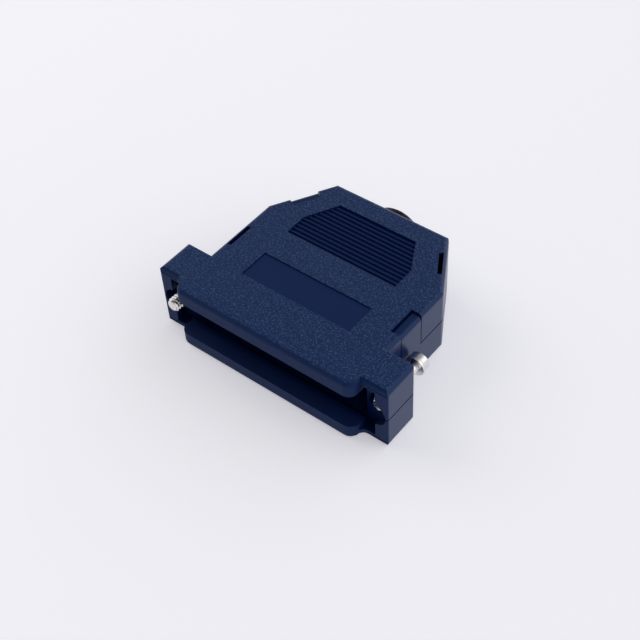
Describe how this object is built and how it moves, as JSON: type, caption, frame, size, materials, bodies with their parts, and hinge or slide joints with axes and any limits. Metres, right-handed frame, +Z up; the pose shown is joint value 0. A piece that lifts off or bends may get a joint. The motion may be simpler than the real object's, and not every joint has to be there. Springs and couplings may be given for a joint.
{
  "type": "d-sub connector hood",
  "caption": "Two-piece snap-together plastic hood for a D-sub connector, with captive slotted jackscrews, cable bush and inner strain relief clamp.",
  "frame": {"origin": "on the flat underside, below the middle of the wings' front faces", "axes": "+X to the right along the mouth, +Y from the mouth towards the cable exit, +Z up"},
  "size_m": [0.0542, 0.0445, 0.0153],
  "materials": {
    "hood_plastic": "fine grained top and bottom, semi-gloss sides",
    "nickel": "bright nickel plate",
    "bush_rubber": "smooth, slightly glossy",
    "clamp_steel": "zinc plated"
  },
  "bodies": {
    "hood": {"lower_shell": "hood_plastic", "upper_shell": "hood_plastic", "cable_bush": "bush_rubber", "clamp_lower": "clamp_steel", "clamp_upper": "clamp_steel", "clamp_screw_left": "clamp_steel", "clamp_screw_right": "clamp_steel", "clamp_nut_left": "clamp_steel", "clamp_nut_right": "clamp_steel"},
    "left_washer": {"washer_left": "nickel"},
    "left_screw": {"jackscrew_left": "nickel"},
    "right_washer": {"washer_right": "nickel"},
    "right_screw": {"jackscrew_right": "nickel"}
  },
  "joints": [
    {"name": "left_jackscrew_slide", "type": "slide", "parent": "hood", "child": "left_washer", "axis": [0, 1, 0], "range_m": [-0.0016, 0.00335]},
    {"name": "left_jackscrew_turn", "type": "hinge", "parent": "left_washer", "child": "left_screw", "pos_m": [-0.02352, 0.00995, 0.00765], "axis": [0, 1, 0], "continuous": true},
    {"name": "right_jackscrew_slide", "type": "slide", "parent": "hood", "child": "right_washer", "axis": [0, 1, 0], "range_m": [-0.00495, 0]},
    {"name": "right_jackscrew_turn", "type": "hinge", "parent": "right_washer", "child": "right_screw", "pos_m": [0.02352, 0.0133, 0.00765], "axis": [0, 1, 0], "continuous": true}
  ]
}
